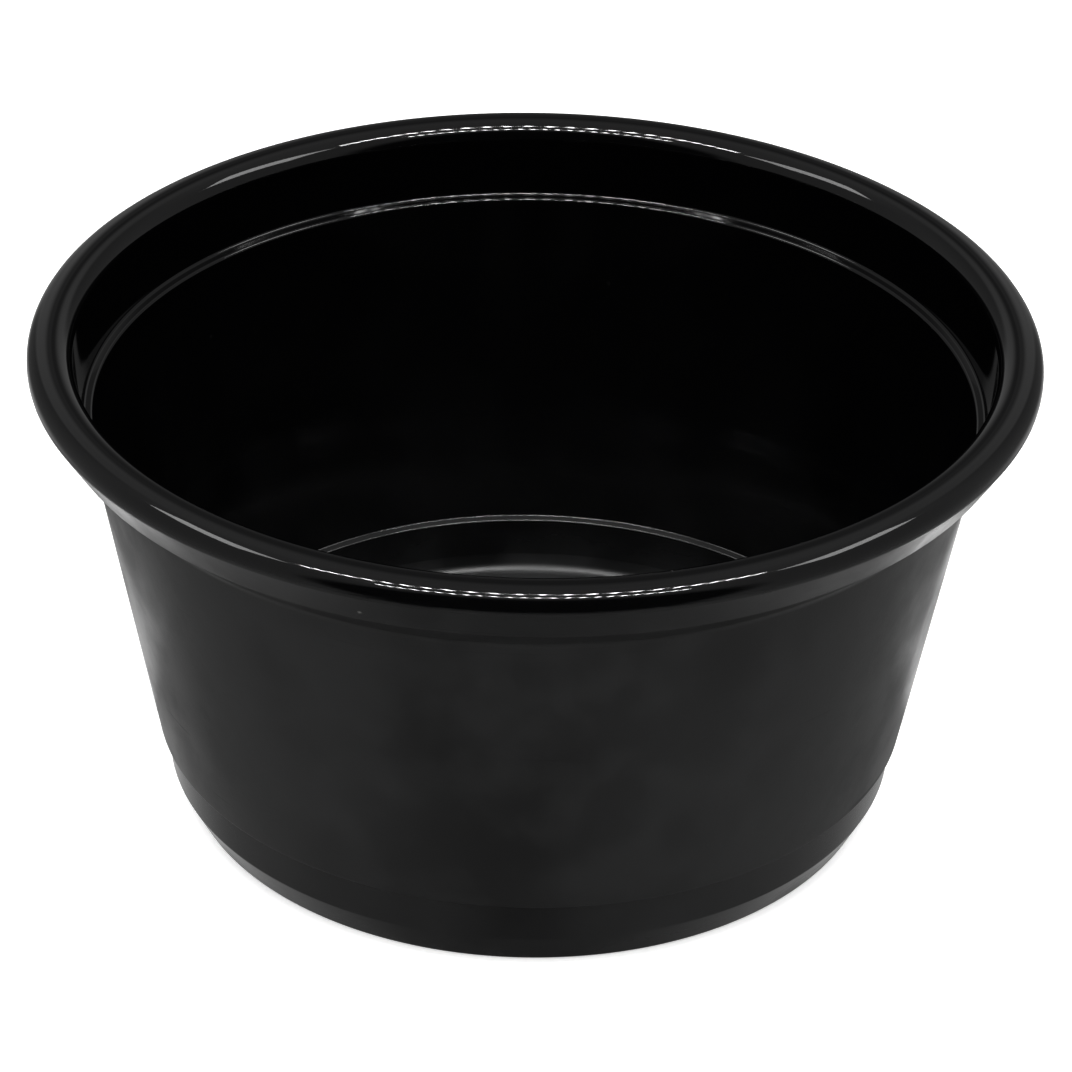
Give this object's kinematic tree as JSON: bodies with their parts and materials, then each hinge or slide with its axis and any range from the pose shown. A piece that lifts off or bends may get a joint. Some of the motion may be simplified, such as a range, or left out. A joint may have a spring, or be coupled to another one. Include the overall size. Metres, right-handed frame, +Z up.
{
  "type": "portion bowl",
  "caption": "Small round moulded bowl with a rolled-look rim, an inner lid ledge, tapered wall and a stacking step above its foot.",
  "frame": {"origin": "centre of the ring that the bowl stands on, at table level", "axes": "+Z up along the bowl's axis; the bowl is round, so X and Y are free"},
  "size_m": [0.062, 0.062, 0.0315],
  "materials": {
    "black_plastic": "satin black polypropylene outside, glossier inside"
  },
  "bodies": {
    "root": {"bowl": "black_plastic"}
  },
  "joints": []
}
